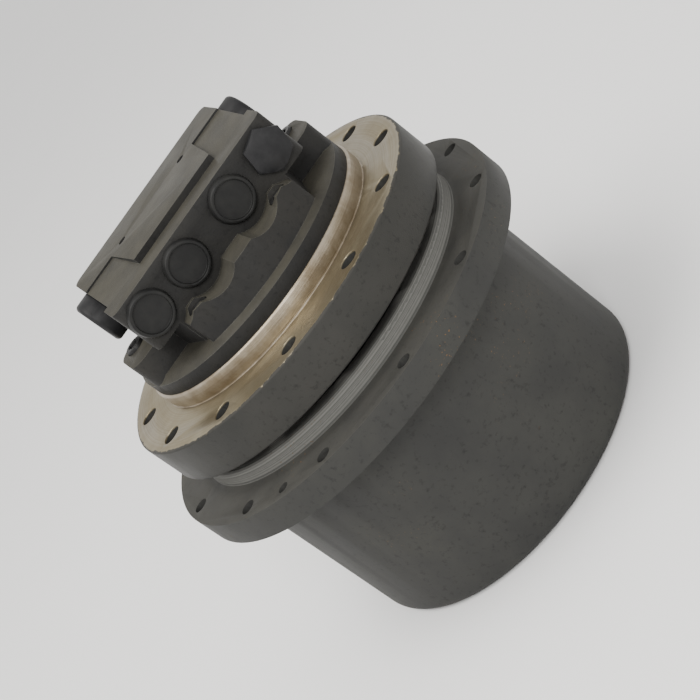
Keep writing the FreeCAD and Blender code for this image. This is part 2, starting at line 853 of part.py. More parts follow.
def make_face_seal():
    """Floating face seal: two equal metal rings, each held by a rubber ring in its seat."""
    ramp = seal_outer_radius - S.seal_ramp_step
    ramp_slope = S.seal_ramp_rise / (S.seal_height - S.seal_face_width)
    mouth = seal_middle - lip_top
    seat_slope = S.seal_seat_taper / (S.seal_height + S.seal_floor_gap - mouth)

    def on_ring(depth):
        return ramp - ramp_slope * (depth - S.seal_face_width)

    def on_seat(depth):
        return seal_seat_radius - seat_slope * (depth - mouth)

    for name, way in (("lower", -1), ("upper", 1)):
        back = seal_middle + way * S.seal_height
        step = seal_middle + way * S.seal_face_width
        turned_body(f"{name}_seal_ring", [
            (seal_inner_radius, seal_middle),
            (seal_outer_radius, seal_middle),
            (seal_outer_radius, step),
            (ramp, step),
            (on_ring(S.seal_height), back),
            (seal_inner_radius, back),
        ])
        near, far = S.toric_start, S.toric_end
        turned_body(f"{name}_toric_ring", [
            (on_ring(near), seal_middle + way * near),
            ((on_ring(near) + on_seat(near)) / 2, seal_middle + way * (near - S.toric_bulge)),
            (on_seat(near), seal_middle + way * near),
            (on_seat(far), seal_middle + way * far),
            ((on_ring(far) + on_seat(far)) / 2, seal_middle + way * (far + S.toric_bulge)),
            (on_ring(far), seal_middle + way * far),
        ])


# ---------------------------------------------------------------- gear set

def make_ring_gear():
    stored("ring_gear", internal_gear(S.ring_teeth.value, S.ring_wall.value, cover_top.value, ring_top.value))


def make_planets(stage, teeth, distance, bottom, top, pin_radius):
    """Three planets with their bushes, a tooth of each pointing straight outwards."""
    bush_inner = pin_radius.value + S.running_gap.value
    bush_outer = pin_radius.value + S.bush_thickness.value
    gear = external_gear(teeth.value, bottom.value, top.value)
    bore = Part.makeCylinder(bush_outer, top.value - bottom.value, Vector(0, 0, bottom.value))
    gear = gear.cut(bore)
    bush = tube(bush_outer, bush_inner, bottom.value, top.value)
    places = ring_places(S.planet_count.value, distance.value)
    for index, place in enumerate(places, 1):
        stored(f"planet_{stage}_gear_{index}", around(gear, [place]))
        stored(f"planet_{stage}_bush_{index}", around(bush, [place]))


def make_carrier_1():
    """Disc that carries the first planets and drives the second sun gear."""
    body = new_body("carrier_1")
    shank = sun_shank_radius()
    turned(body, "carrier_turning", [
        (shank, carrier_bottom),
        (carrier_radius, carrier_bottom),
        (carrier_radius, carrier_top),
        (shank, carrier_top),
    ])
    drilled_ring(body, "pin_bore", distance_1, S.pin_radius_1, carrier_top, S.carrier_thickness, S.planet_count)
    drilled_ring(body, "window", distance_1, S.carrier_window_radius, carrier_top, S.carrier_thickness,
                 S.planet_count, start=half_pitch(S.planet_count))
    return body


def sun_shank_radius():
    return S.gear_module * (S.sun_teeth_2 / 2 - S.dedendum_share) - S.shank_undercut


def make_suns():
    """First sun gear with its long shaft, and the hollow second sun gear round it."""
    tooth_1 = math.pi / S.sun_teeth_1.value
    sun_1 = external_gear(S.sun_teeth_1.value, (cover_top + S.pin_head_gap).value, carrier_bottom.value, tooth_1)
    shaft_top = (shaft_bottom + S.sun_shaft_grip).value
    shaft = Part.makeCylinder(S.sun_shaft_radius.value, shaft_top - carrier_bottom.value,
                              Vector(0, 0, carrier_bottom.value))
    stored("sun_gear_1", sun_1.fuse(shaft).removeSplitter())
    bore = S.sun_shaft_radius.value + S.sun_bore_clearance.value
    sun_2 = external_gear(S.sun_teeth_2.value, support_top.value, spindle_end.value)
    shank = Part.makeCylinder(sun_shank_radius().value, (support_top - carrier_bottom).value,
                              Vector(0, 0, carrier_bottom.value))
    hollow = Part.makeCylinder(bore, (spindle_end - carrier_bottom).value, Vector(0, 0, carrier_bottom.value))
    stored("sun_gear_2", sun_2.fuse(shank).cut(hollow).removeSplitter())


def make_pins():
    head_bottom = (cover_top + S.pin_head_gap).value
    head_top = head_bottom + S.pin_head_thickness.value
    pin = Part.makeCylinder(S.pin_radius_1.value, carrier_top.value - head_top, Vector(0, 0, head_top))
    head = Part.makeCylinder(S.pin_radius_1.value + S.pin_head_width.value, head_top - head_bottom,
                             Vector(0, 0, head_bottom))
    stored("stage_1_pins", around(pin.fuse(head), ring_places(S.planet_count.value, distance_1.value)))
    length = (spindle_end + S.pin_seat_depth - support_bottom).value
    pin_2 = Part.makeCylinder(S.pin_radius_2.value, length, Vector(0, 0, support_bottom.value))
    stored("stage_2_pins", around(pin_2, ring_places(S.planet_count.value, distance_2.value)))


def make_pin_support():
    """Fixed second carrier: a plate with three posts, screwed to the end of the spindle."""
    body = new_body("pin_support")
    inner = S.gear_module * (S.sun_teeth_2 / 2 + S.addendum_share) + S.support_bore_gap
    turned(body, "support_turning", [
        (inner, support_bottom),
        (support_radius, support_bottom),
        (support_radius, support_top),
        (inner, support_top),
    ])
    half = math.radians(half_pitch(S.planet_count))
    post = padded(body, "post", "XY_Plane", support_top, spindle_end - support_top,
                  lambda sketch: circle_at(sketch, S.post_circle * math.cos(half),
                                           S.post_circle * math.sin(half), S.post_radius))
    repeated(body, post, S.planet_count, "posts")
    drilled_ring(body, "pin_bore", distance_2, S.pin_radius_2, support_top, S.support_thickness, S.planet_count)
    drilled_ring(body, "screw_bore", S.post_circle, S.post_screw_radius + S.post_screw_clearance, spindle_end,
                 spindle_end - support_bottom, S.planet_count, start=half_pitch(S.planet_count))
    seat = padded(body, "screw_seat", "XY_Plane", support_bottom, S.post_screw_head_height,
                  lambda sketch: circle_at(sketch, S.post_circle * math.cos(half),
                                           S.post_circle * math.sin(half),
                                           S.post_screw_head_radius + S.post_screw_clearance),
                  cut=True, reverse=True)
    repeated(body, seat, S.planet_count, "screw_seats")
    return body


def make_support_screws():
    seat = support_bottom + S.post_screw_head_height
    screw = cap_screw(S.post_screw_head_radius.value, S.post_screw_head_height.value,
                      S.post_screw_radius.value, (spindle_end + S.post_screw_grip - seat).value)
    screw.rotate(Vector(), Vector(1, 0, 0), 180)
    places = ring_places(S.planet_count.value, S.post_circle.value, half_pitch(S.planet_count))
    stored("pin_support_screws", around(screw, places, seat.value))


# ---------------------------------------------------------------- spindle

def make_spindle():
    """Frame flange, pilot and hollow bearing journal; the motor housing is inside it."""
    seat = seal_seat_radius
    seat_back = seal_middle + S.seal_height + S.seal_floor_gap
    relief_top = frame_face + S.pilot_relief_width
    body = new_body("spindle")
    turned(body, "spindle_turning", [
        (end_bore_radius, spindle_end),
        (thread_radius, spindle_end),
        (thread_radius, lower_bearing_bottom),
        (journal_radius, lower_bearing_bottom),
        (journal_radius, upper_bearing_top),
        (shoulder_radius, upper_bearing_top),
        (neck_radius, upper_bearing_top + S.neck_taper_height),
        (neck_radius, seat_back),
        (seat - S.seal_seat_taper, seat_back),
        (seat, frame_under),
        (frame_flange_radius - S.frame_flange_chamfer, frame_under),
        (frame_flange_radius, frame_under + S.frame_flange_chamfer),
        (frame_flange_radius, frame_face - S.frame_flange_chamfer),
        (frame_flange_radius - S.frame_flange_chamfer, frame_face),
        (pilot_radius - S.pilot_relief_depth, frame_face),
        (pilot_radius - S.pilot_relief_depth, relief_top),
        (pilot_radius, relief_top),
        (pilot_radius, pilot_top - S.pilot_chamfer),
        (pilot_radius - S.pilot_chamfer, pilot_top),
        (brake_bore_radius, pilot_top),
        (brake_bore_radius, brake_shoulder),
        (motor_bore_radius, brake_shoulder),
        (motor_bore_radius, motor_floor),
        (shaft_bearing_radius, motor_floor),
        (shaft_bearing_radius, motor_floor - S.shaft_bearing_width),
        (shaft_seal_radius, motor_floor - S.shaft_bearing_width),
        (shaft_seal_radius, front_wall_bottom),
        (end_bore_radius, front_wall_bottom),
    ])
    drilled_ring(body, "frame_hole", frame_bolt_circle, S.frame_hole_radius, frame_face,
                 S.frame_flange_thickness, S.frame_bolt_count,
                 start=half_pitch(S.frame_bolt_count))
    drilled_ring(body, "rear_screw_hole", rear_screw_circle, S.rear_screw_radius, pilot_top,
                 S.rear_screw_grip, S.rear_screw_count)
    half = math.radians(half_pitch(S.planet_count))
    pin_seat = padded(body, "pin_seat", "XY_Plane", spindle_end, S.pin_seat_depth,
                      lambda sketch: circle_at(sketch, distance_2, 0, S.pin_radius_2), cut=True, reverse=True)
    repeated(body, pin_seat, S.planet_count, "pin_seats")
    tapped = padded(body, "support_screw_hole", "XY_Plane", spindle_end, S.post_screw_grip,
                    lambda sketch: circle_at(sketch, S.post_circle * math.cos(half),
                                             S.post_circle * math.sin(half), S.post_screw_radius),
                    cut=True, reverse=True)
    repeated(body, tapped, S.planet_count, "support_screw_holes")
    return body


def make_bearing_nut():
    body = new_body("bearing_nut")
    turned(body, "nut_turning", [
        (thread_radius, nut_bottom),
        (nut_radius, nut_bottom),
        (nut_radius, lower_bearing_bottom),
        (thread_radius, lower_bearing_bottom),
    ])
    half_width = S.nut_slot_width / 2
    slot = padded(body, "slot", "XY_Plane", nut_bottom, S.nut_thickness,
                  lambda sketch: outline(sketch, [
                      (nut_radius - S.nut_slot_depth, -half_width),
                      (nut_radius + PAST, -half_width),
                      (nut_radius + PAST, half_width),
                      (nut_radius - S.nut_slot_depth, half_width),
                  ]), cut=True, reverse=True)
    repeated(body, slot, S.nut_slot_count, "slots")
    return body


# ---------------------------------------------------------------- inside the motor

def make_motor_shaft():
    """Hollow at the lower end for the splined shaft of the first sun gear."""
    socket_top = shaft_bottom + S.sun_shaft_grip
    turned_body("motor_shaft", [
        (S.sun_shaft_radius, shaft_bottom),
        (S.motor_shaft_radius, shaft_bottom),
        (S.motor_shaft_radius, rear_bearing_top - S.shaft_end_gap),
        (0, rear_bearing_top - S.shaft_end_gap),
        (0, socket_top),
        (S.sun_shaft_radius, socket_top),
    ])


def make_shaft_bearings():
    """Two shielded ball bearings: inner rings on the shaft, outer rings with their shields."""
    width = S.shaft_bearing_width.value
    shield = S.shaft_bearing_shield.value
    inner = S.motor_shaft_radius.value
    outer = shaft_bearing_radius.value
    ring = S.shaft_bearing_ring.value
    inner_ring = tube(inner + ring, inner, 0.0, width)
    inner_edge = inner + ring + S.running_gap.value
    outer_ring = tube(outer, inner_edge, 0.0, width).cut(tube(outer - ring, inner_edge, shield, width - shield))
    bottoms = [motor_floor.value - width, rear_bearing_top.value - width]
    for name, shape in (("inner", inner_ring), ("outer", outer_ring)):
        rings = []
        for bottom in bottoms:
            copy = shape.copy()
            copy.translate(Vector(0, 0, bottom))
            rings.append(copy)
        stored(f"shaft_bearing_{name}_rings", Part.makeCompound(rings))
    seal_top = motor_floor - S.shaft_bearing_width
    turned_body("shaft_seal", [
        (S.motor_shaft_radius + S.running_gap, seal_top - S.shaft_seal_width),
        (shaft_seal_radius, seal_top - S.shaft_seal_width),
        (shaft_seal_radius, seal_top),
        (S.motor_shaft_radius + S.running_gap, seal_top),
    ])


def make_cylinder_block():
    """Block on the motor shaft with nine piston bores open towards the swash plate."""
    body = new_body("cylinder_block")
    turned(body, "block_turning", [
        (S.motor_shaft_radius, cylinder_bottom),
        (block_radius, cylinder_bottom),
        (block_radius, block_seat),
        (S.motor_shaft_radius, block_seat),
    ])
    bore = padded(body, "piston_bore", "XY_Plane", cylinder_bottom, S.piston_bore_depth,
                  lambda sketch: circle_at(sketch, piston_circle, 0, S.piston_radius + S.piston_gap),
                  cut=True, reverse=True)
    repeated(body, bore, S.piston_count, "piston_bores")
    return body


def make_pistons():
    """Pistons drawn back in the block, each with a neck held in its shoe."""
    shoe_top = (cylinder_bottom - S.shoe_gap).value
    shoe_low = shoe_bottom.value
    neck_bottom = shoe_top - S.shoe_socket_depth.value
    body_bottom = (cylinder_bottom + S.piston_recess).value
    neck = S.piston_neck_radius.value
    piston = Part.makeCylinder(S.piston_radius.value, S.piston_length.value, Vector(0, 0, body_bottom))
    piston = piston.fuse(Part.makeCylinder(neck, body_bottom - neck_bottom, Vector(0, 0, neck_bottom)))
    shoe = Part.makeCylinder(S.shoe_radius.value, shoe_top - shoe_low, Vector(0, 0, shoe_low))
    shoe = shoe.cut(Part.makeCylinder(neck, shoe_top - neck_bottom, Vector(0, 0, neck_bottom)))
    places = ring_places(S.piston_count.value, piston_circle.value)
    stored("pistons", around(piston, places))
    stored("piston_shoes", around(shoe, places))


def cradle_rail(way, radius):
    """Cylinder about the tilt axis (X), as wide as the cradle's seat on one side."""
    inner = S.cradle_inner_half.value
    width = S.cradle_outer_half.value - inner
    start = inner if way > 0 else -inner - width
    return Part.makeCylinder(radius, width, Vector(start, 0, 0), Vector(1, 0, 0))


def make_swash_plate():
    """Tilting plate with two round rails, and the saddle on the motor's floor that holds them."""
    thickness = S.swash_thickness.value
    plate = Part.makeCylinder(swash_radius.value, thickness, Vector(0, 0, -thickness))
    rails = []
    seats = []
    half = S.cradle_half_width.value
    for way in (-1, 1):
        rail = cradle_rail(way, S.cradle_radius.value)
        depth = S.cradle_radius.value + PAST
        keep = Part.makeBox(2 * swash_radius.value, 2 * depth, depth - thickness / 2,
                            Vector(-swash_radius.value, -depth, -depth))
        rails.append(rail.common(keep))
        seat = Part.makeBox(S.cradle_outer_half.value - S.cradle_inner_half.value, 2 * half,
                            S.cradle_height.value,
                            Vector(rail.BoundBox.XMin, -half, -S.swash_pivot_height.value))
        seats.append(seat.cut(cradle_rail(way, S.cradle_radius.value + S.running_gap.value)))
    plate = plate.fuse(rails).cut(Part.makeCylinder(S.swash_bore_radius.value, 2 * swash_radius.value,
                                                    Vector(0, 0, -swash_radius.value)))
    plate.Placement = FreeCAD.Placement(Vector(0, 0, swash_pivot.value),
                                        FreeCAD.Rotation(Vector(1, 0, 0), S.swash_angle.value))
    stored("swash_plate", plate)
    saddle = Part.makeCompound(seats)
    saddle.translate(Vector(0, 0, swash_pivot.value))
    stored("swash_cradle", saddle)


def make_valve_plate():
    """Plate with two kidney ports between the cylinder block and the rear flange."""
    bottom, top = block_seat.value, spigot_bottom.value
    plate = tube(valve_plate_radius.value, (S.motor_shaft_radius + S.valve_plate_gap).value, bottom, top)
    half = S.kidney_width.value / 2
    near, far = piston_circle.value - half, piston_circle.value + half
    for middle in (0.0, 180.0):
        corners = [Vector(near, 0, bottom), Vector(far, 0, bottom), Vector(far, 0, top), Vector(near, 0, top),
                   Vector(near, 0, bottom)]
        kidney = Part.Face(Part.makePolygon(corners)).revolve(Vector(), Vector(0, 0, 1), S.kidney_sweep.value)
        kidney.rotate(Vector(), Vector(0, 0, 1), middle - S.kidney_sweep.value / 2)
        plate = plate.cut(kidney)
    stored("valve_plate", plate)


def make_brake():
    """Parking brake: a disc turning with the block between two fixed plates, and its piston."""
    gap = S.brake_plate_gap.value
    plate = S.brake_plate_thickness.value
    disc_bottom = brake_shoulder.value + plate + gap
    disc_far = disc_bottom + S.brake_disc_thickness.value
    stored("brake_friction_disc", tube(brake_disc_radius.value, block_radius.value, disc_bottom, disc_far))
    upper = disc_far + gap
    plates = [tube(brake_bore_radius.value, brake_plate_bore.value, bottom, bottom + plate)
              for bottom in (brake_shoulder.value, upper)]
    stored("brake_plates", Part.makeCompound(plates))
    piston_bottom = upper + plate + gap
    stored("brake_piston", tube(brake_bore_radius.value - S.running_gap.value, brake_piston_bore.value,
                                piston_bottom, piston_bottom + S.brake_piston_height.value))


# ---------------------------------------------------------------- motor rear flange

def make_rear_flange():
    """Rear casting of the motor: disc, shelf, lugs and the port block across the top."""
    shelf_radius = disc_radius - S.disc_chamfer_width
    lug_reach = disc_radius - S.lug_inset
    lug_bottom = disc_top - S.disc_chamfer
    lug_rise = S.lug_height + S.disc_chamfer
    body = new_body("rear_flange")
    groove = brake_bore_radius - S.flange_seal_depth
    groove_bottom, groove_top = flange_groove()
    turned(body, "disc_turning", [
        (0, disc_top),
        (0, rear_bearing_top),
        (shaft_bearing_radius, rear_bearing_top),
        (shaft_bearing_radius, spigot_bottom),
        (brake_bore_radius, spigot_bottom),
        (brake_bore_radius, groove_bottom),
        (groove, groove_bottom),
        (groove, groove_top),
        (brake_bore_radius, groove_top),
        (brake_bore_radius, pilot_top),
        (disc_radius, pilot_top),
        (disc_radius, disc_top - S.disc_chamfer),
        (shelf_radius, disc_top),
    ])
    padded(body, "neck", "XY_Plane", disc_top, S.neck_height, lambda sketch: outline(sketch, [
        (-S.neck_front_half, -S.port_face),
        (S.neck_front_half, -S.port_face),
        (S.neck_side_half, 0),
        (S.neck_front_half, S.block_rear),
        (-S.neck_front_half, S.block_rear),
        (-S.neck_side_half, 0),
    ]))
    padded(body, "shelf", "XY_Plane", disc_top, S.shelf_height, lambda sketch: outline(sketch, [
        (-S.shelf_half, -shelf_radius),
        (S.shelf_half, -shelf_radius),
        (S.shelf_half, -S.port_face + PAST),
        (-S.shelf_half, -S.port_face + PAST),
    ]))
    turned(body, "shelf_front", [
        (shelf_radius, disc_top),
        (2 * shelf_radius, disc_top),
        (2 * shelf_radius, disc_top + S.shelf_height),
        (shelf_radius, disc_top + S.shelf_height),
    ], cut=True)
    for number, place in enumerate((S.inner_port_half, -S.inner_port_half,
                                    S.outer_port_half, -S.outer_port_half), 1):
        padded(body, f"scallop_{number}", "XZ_Plane", S.port_face, shelf_radius - S.port_face + PAST,
               lambda sketch, place=place: circle_at(sketch, place, port_z, S.scallop_radius),
               cut=True, reverse=True)
    for name, way in (("left", -1), ("right", 1)):
        padded(body, f"{name}_lug", "XY_Plane", lug_bottom, lug_rise,
               lambda sketch, way=way: outline(sketch, [
                   (way * (S.neck_front_half - S.lug_root), -S.lug_front),
                   (way * lug_reach, -S.lug_front, S.lug_round),
                   (way * lug_reach, S.lug_back, S.lug_round),
                   (way * (S.neck_front_half - S.lug_root), S.lug_back),
               ]))
    second = math.radians(2 * half_pitch(S.rear_screw_count))
    for name, way in (("left", -1), ("right", 1)):
        padded(body, f"rear_{name}_lug", "XY_Plane", lug_bottom, lug_rise,
               lambda sketch, way=way: circle_at(sketch, way * rear_screw_circle * math.cos(second),
                                                 rear_screw_circle * math.sin(second), S.rear_lug_radius))
    turned(body, "lug_rim", [
        (disc_radius, lug_bottom),
        (2 * disc_radius, lug_bottom),
        (2 * disc_radius, disc_top + S.lug_height),
        (disc_radius, disc_top + S.lug_height),
    ], cut=True)
    bar_back = S.port_face - S.bar_depth
    padded(body, "port_block", "XY_Plane", block_bottom, S.port_block_height, lambda sketch: outline(sketch, [
        (-S.bar_half, -S.port_face, S.block_round),
        (S.bar_half, -S.port_face, S.block_round),
        (S.bar_half, -bar_back),
        (S.block_half, -bar_back),
        (S.block_half, S.block_rear, S.block_round),
        (-S.block_half, S.block_rear, S.block_round),
        (-S.block_half, -bar_back),
        (-S.bar_half, -bar_back),
    ]))
    far = S.bar_half + PAST
    ledge_back = S.port_face - S.ledge_depth
    padded(body, "ledge", "XY_Plane", block_top, S.ledge_drop, lambda sketch: outline(sketch, [
        (-far, -S.port_face - PAST),
        (far, -S.port_face - PAST),
        (far, -ledge_back),
        (-far, -ledge_back),
    ]), cut=True)
    for name, rear_sides, front_sides in (
            ("left", (-far, -S.pad_rear_half), (-far, -S.pad_front_half)),
            ("right", (S.pad_rear_half, far), (S.pad_front_half, far))):
        stations = []
        for end, offset, sides, drop in (("rear", -S.strip_front, rear_sides, S.pocket_drop),
                                         ("front", ledge_back, front_sides, S.ledge_drop)):
            station = sketch_on(body, f"{name}_pocket_{end}", "XZ_Plane", offset)
            outline(station, [
                (sides[0], block_top - drop),
                (sides[1], block_top - drop),
                (sides[1], block_top),
                (sides[0], block_top),
            ])
            stations.append(station)
        pocket = body.newObject("PartDesign::SubtractiveLoft", f"{name}_pocket")
        pocket.Profile = stations[0]
        pocket.Sections = stations[1:]
        pocket.Ruled = True
    for number, place in enumerate((-S.outer_port_half, -S.inner_port_half,
                                    S.inner_port_half, S.outer_port_half), 1):
        padded(body, f"port_{number}", "XZ_Plane", S.port_face, S.port_bore_depth,
               lambda sketch, place=place: circle_at(sketch, place, port_z, S.port_bore_radius), cut=True)
    padded(body, "spool_bore", "YZ_Plane", S.block_half, 2 * S.block_half,
           lambda sketch: circle_at(sketch, S.spool_y, spool_z, S.spool_radius), cut=True)
    padded(body, "right_cap_bore", "YZ_Plane", S.block_half, S.spool_cap_stem_length,
           lambda sketch: circle_at(sketch, S.spool_y, spool_z, S.spool_cap_stem_radius), cut=True)
    padded(body, "left_cap_bore", "YZ_Plane", -S.block_half, S.spool_cap_stem_length,
           lambda sketch: circle_at(sketch, S.spool_y, spool_z, S.spool_cap_stem_radius), cut=True, reverse=True)
    for number, way in enumerate((-1, 1), 1):
        padded(body, f"lifting_hole_{number}", "XY_Plane", block_top, S.lifting_hole_depth,
               lambda sketch, way=way: circle_at(sketch, way * S.lifting_hole_half, S.lifting_hole_y,
                                                 S.lifting_hole_radius), cut=True)
    drilled_ring(body, "screw_bore", rear_screw_circle, S.rear_screw_radius + S.rear_screw_clearance,
                 disc_top + S.rear_screw_seat, S.rear_screw_seat + S.disc_height, S.rear_screw_count)
    drilled_ring(body, "screw_seat", rear_screw_circle, S.rear_screw_head_radius + S.screw_recess_gap,
                 disc_top + S.shelf_height, S.shelf_height - S.rear_screw_seat, S.rear_screw_count)
    return body


def flange_groove():
    """Lower and upper side of the groove for the flange's seal ring."""
    middle = (spigot_bottom + pilot_top) / 2
    return middle - S.flange_seal_width / 2, middle + S.flange_seal_width / 2


def make_flange_seal():
    groove_bottom, groove_top = flange_groove()
    groove = brake_bore_radius - S.flange_seal_depth
    turned_body("rear_flange_seal", [
        (groove, groove_bottom),
        (brake_bore_radius, groove_bottom),
        (brake_bore_radius, groove_top),
        (groove, groove_top),
    ])


def make_rear_screws():
    seat = (disc_top + S.rear_screw_seat).value
    shank = seat - (pilot_top - S.rear_screw_grip).value
    screw = cap_screw(S.rear_screw_head_radius.value, S.rear_screw_head_height.value,
                      S.rear_screw_radius.value, shank)
    places = ring_places(S.rear_screw_count.value, rear_screw_circle.value)
    stored("rear_flange_screws", around(screw, places, seat))


# ---------------------------------------------------------------- port caps, plug and spool

def facing_front(shape, place_x):
    """Turns a piece made along +Z so that it looks along -Y from the port face."""
    shape.Placement = FreeCAD.Placement(Vector(place_x, -S.port_face.value, port_z.value),
                                        FreeCAD.Rotation(Vector(1, 0, 0), 90))
    return shape


def make_port_caps():
    """Moulded caps with a dished face and a hollow stem, pressed into three ports."""
    caps = []
    for place in (-S.outer_port_half.value, -S.inner_port_half.value, S.inner_port_half.value):
        height = S.cap_height.value
        cap = Part.makeCone(S.cap_radius.value, S.cap_front_radius.value, height)
        dish = S.cap_dish_depth.value
        cap = cap.cut(Part.makeCylinder(S.cap_dish_radius.value, dish, Vector(0, 0, height - dish)))
        stem = tube(S.port_bore_radius.value, S.cap_stem_bore.value, -S.cap_stem_length.value, 0.0)
        caps.append(facing_front(cap.fuse(stem).removeSplitter(), place))
    stored("port_caps", Part.makeCompound(caps))


def make_port_plug():
    """Hexagon-headed screw plug in the fourth port, its corners bevelled at 30 degrees."""
    flats = S.plug_across_flats.value / 2
    height = S.plug_head_height.value
    head = hexagon_prism(flats * 2 / math.sqrt(3), 0.0, height, 90 - S.plug_turn.value)
    plug = head.common(Part.makeCone(flats + height * math.sqrt(3), flats, height))
    stem = Part.makeCylinder(S.port_bore_radius.value, S.plug_stem_length.value,
                             Vector(0, 0, -S.plug_stem_length.value))
    stored("port_plug", facing_front(plug.fuse(stem).removeSplitter(), S.outer_port_half.value))


def make_spool_pieces():
    """Counterbalance spool across the port block, closed by a cap at each end."""
    land = S.spool_radius.value - S.spool_land_gap.value
    reach = S.block_half.value - S.spool_cap_stem_length.value - S.spool_travel.value
    spool = Part.makeCylinder(land, 2 * reach, Vector(-reach, 0, 0), Vector(1, 0, 0))
    sections = 7
    width = 2 * reach / sections
    for step in (-2, 0, 2):
        start = Vector((step - 0.5) * width, 0, 0)
        groove = Part.makeCylinder(land + PAST, width, start, Vector(1, 0, 0))
        core = Part.makeCylinder(land - S.spool_groove_depth.value, width, start, Vector(1, 0, 0))
        spool = spool.cut(groove.cut(core))
    spool.translate(Vector(0, S.spool_y.value, spool_z.value))
    stored("counterbalance_spool", spool)
    for name, way in (("left", -1), ("right", 1)):
        body = new_body(f"{name}_spool_cap")
        stem = S.spool_cap_stem_length
        sketch = sketch_on(body, f"{name}_cap_profile", "XZ_Plane")
        outline(sketch, [
            (0, -stem),
            (S.spool_cap_stem_radius, -stem),
            (S.spool_cap_stem_radius, 0),
            (S.spool_cap_radius, 0),
            (S.spool_cap_radius, S.spool_cap_reach, S.spool_cap_round),
            (0, S.spool_cap_reach),
        ])
        turning = body.newObject("PartDesign::Revolution", f"{name}_cap_turning")
        turning.Profile = sketch
        turning.ReferenceAxis = (origin_item(body, "Z_Axis"), [""])
        turning.Angle = 360
        key = sketch_on(body, f"{name}_cap_key", "XY_Plane", S.spool_cap_reach)
        corner = S.spool_cap_key_radius
        points = []
        for step in range(6):
            turn = math.radians(60 * step + 30)
            across = corner * round(math.cos(turn), 9)
            points.append((size(0) if abs(across.value) < 1e-6 else across, corner * round(math.sin(turn), 9)))
        outline(key, points)
        pocket = body.newObject("PartDesign::Pocket", f"{name}_cap_socket")
        pocket.Profile = key
        pocket.setExpression("Length", S.spool_cap_key_depth.formula)
        body.Placement = FreeCAD.Placement(Vector(way * S.block_half.value, S.spool_y.value, spool_z.value),
                                           FreeCAD.Rotation(Vector(0, 1, 0), way * 90))


# ---------------------------------------------------------------- assembly

make_hub_casing()
make_end_cover()
make_cover_pieces()
make_ring_gear()
make_bearing("lower_bearing", lower_bearing_bottom, 1)
make_bearing("upper_bearing", upper_bearing_bottom, -1)
make_face_seal()
make_planets(1, S.planet_teeth_1, distance_1, stage_1_bottom, stage_1_top, S.pin_radius_1)
make_planets(2, S.planet_teeth_2, distance_2, stage_2_bottom, stage_2_top, S.pin_radius_2)
make_carrier_1()
make_suns()
make_pins()
make_pin_support()
make_support_screws()
make_spindle()
make_bearing_nut()
make_motor_shaft()
make_shaft_bearings()
make_cylinder_block()
make_pistons()
make_swash_plate()
make_valve_plate()
make_brake()
make_rear_flange()
make_flange_seal()
make_rear_screws()
make_port_caps()
make_port_plug()
make_spool_pieces()
doc.recompute()

os.makedirs("parts", exist_ok=True)
pieces = [item for item in doc.Objects
          if item.TypeId == "PartDesign::Body" or item.TypeId == "Part::Feature"]
for item in doc.Objects:
    if "Invalid" in item.State or "Error" in item.State:
        raise RuntimeError(f"{item.Name} has failed: {item.State}")
for piece in pieces:
    if piece.Shape.isNull() or not piece.Shape.isValid():
        raise RuntimeError(f"{piece.Label} has no valid shape")
for piece in pieces:
    piece.Shape.exportStep(f"parts/{piece.Label}.step")
print(len(pieces), "sub-parts written")
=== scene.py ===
"""Excavator final drive, dressed for the studio: castings, machined faces, caps and floor."""
import json
import math

import bmesh
import bpy
from mathutils import Matrix, Vector


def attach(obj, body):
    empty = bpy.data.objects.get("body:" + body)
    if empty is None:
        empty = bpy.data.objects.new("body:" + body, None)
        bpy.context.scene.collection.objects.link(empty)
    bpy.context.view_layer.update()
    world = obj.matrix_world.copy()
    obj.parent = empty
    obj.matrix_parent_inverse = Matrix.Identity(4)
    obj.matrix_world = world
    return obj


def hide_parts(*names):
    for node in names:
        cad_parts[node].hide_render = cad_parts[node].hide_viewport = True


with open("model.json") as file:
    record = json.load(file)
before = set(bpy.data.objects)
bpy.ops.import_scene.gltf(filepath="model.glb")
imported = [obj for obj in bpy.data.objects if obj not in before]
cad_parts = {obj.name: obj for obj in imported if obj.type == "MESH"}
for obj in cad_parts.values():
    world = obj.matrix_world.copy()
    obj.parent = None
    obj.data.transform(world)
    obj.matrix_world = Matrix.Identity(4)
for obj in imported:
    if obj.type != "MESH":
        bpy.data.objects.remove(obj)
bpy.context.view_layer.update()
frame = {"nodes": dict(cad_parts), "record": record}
NODES = frame["nodes"]
BODY_OF = {node: body for body, nodes in frame["record"]["behaviour"]["bodies"].items() for node in nodes}
SLOT_OF = {part["node"]: part["material_slot"] for part in frame["record"]["subparts"]}

# Radii and heights of the CAD that the finishes change at, in metres.
CASING_TOP = 0.210
LIP_RADIUS = 0.162
FRAME_FACE = 0.281
FRAME_RIM = 0.174
PILOT_RADIUS = 0.130
# Not a size of the CAD: nearer to the axis than this, the spindle is left unpainted.
BARE_WITHIN = 0.115

# Rounding of the dressed copies' edges.
SHARPEST_KEPT = math.radians(30.0)
EDGE_SEGMENTS = 2
FLAT_WITHIN = math.radians(0.3)


# ---------------------------------------------------------------- camera

